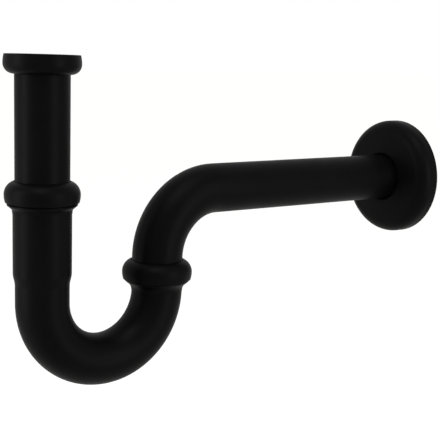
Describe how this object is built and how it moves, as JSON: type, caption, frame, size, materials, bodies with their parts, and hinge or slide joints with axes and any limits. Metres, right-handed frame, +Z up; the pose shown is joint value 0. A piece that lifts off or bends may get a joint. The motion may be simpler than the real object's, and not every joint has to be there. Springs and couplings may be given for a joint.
{
  "type": "tubular trap",
  "caption": "P-shaped tubular drain trap for a wash basin: inlet union, height-adjustable slide joint, U-bend, outlet union and a wall arm with a sliding rosette.",
  "frame": {"origin": "middle of the inlet nut's open end, on the inlet axis, where the tail of the basin waste screws in", "axes": "+Z up along the inlet axis towards the basin, +X along the arm towards the wall"},
  "size_m": [0.3324, 0.0816, 0.2012],
  "materials": {
    "nut_paint": "matt powder coat",
    "tube_paint": "matt powder coat",
    "rosette_paint": "matt powder coat",
    "seal_rubber": "matt",
    "ring_plastic": "satin natural polythene"
  },
  "bodies": {
    "inlet": {"inlet_tube": "tube_paint", "inlet_gasket": "seal_rubber"},
    "inlet_nut": {"inlet_nut": "nut_paint"},
    "seal": {"wedge_seal": "seal_rubber"},
    "bend": {"trap_bend": "tube_paint", "inlet_collar": "tube_paint", "outlet_collar": "tube_paint"},
    "slip_ring": {"slip_ring": "ring_plastic"},
    "slide_nut": {"slide_nut": "nut_paint"},
    "outlet_gasket": {"outlet_gasket": "seal_rubber"},
    "outlet_nut": {"outlet_nut": "nut_paint"},
    "arm": {"outlet_tube": "tube_paint"},
    "rosette": {"wall_rosette": "rosette_paint"}
  },
  "joints": [
    {"name": "inlet_nut_turn", "type": "hinge", "parent": "inlet", "child": "inlet_nut", "pos_m": [0, 0, 0], "axis": [0, 0, 1], "continuous": true},
    {"name": "height_slide", "type": "slide", "parent": "inlet", "child": "seal", "axis": [0, 0, 1], "range_m": [-0.025, 0.009]},
    {"name": "bend_swivel", "type": "hinge", "parent": "seal", "child": "bend", "pos_m": [0, 0, -0.1], "axis": [0, 0, 1], "continuous": true},
    {"name": "slide_nut_advance", "type": "slide", "parent": "bend", "child": "slip_ring", "axis": [0, 0, 1], "range_m": [0, 0.00694]},
    {"name": "slide_nut_turn", "type": "hinge", "parent": "slip_ring", "child": "slide_nut", "pos_m": [0, 0, -0.0785], "axis": [0, 0, 1], "range_deg": [0, 1080]},
    {"name": "outlet_union_lift", "type": "slide", "parent": "bend", "child": "outlet_gasket", "axis": [0, 0, 1], "range_m": [0, 0.00692]},
    {"name": "outlet_nut_turn", "type": "hinge", "parent": "outlet_gasket", "child": "outlet_nut", "pos_m": [0.08, 0, -0.1325], "axis": [0, 0, 1], "range_deg": [0, 1080]},
    {"name": "arm_swivel", "type": "hinge", "parent": "outlet_gasket", "child": "arm", "pos_m": [0.08, 0, -0.129], "axis": [0, 0, 1], "range_deg": [-120, 120]},
    {"name": "rosette_slide", "type": "slide", "parent": "arm", "child": "rosette", "axis": [1, 0, 0], "range_m": [-0.15, 0.015]}
  ],
  "couplings": [
    {"joint": "slide_nut_advance", "follows": "slide_nut_turn", "m_per_rad": 0.00036749},
    {"joint": "outlet_nut_turn", "follows": "outlet_union_lift", "rad_per_m": 2721.2}
  ]
}
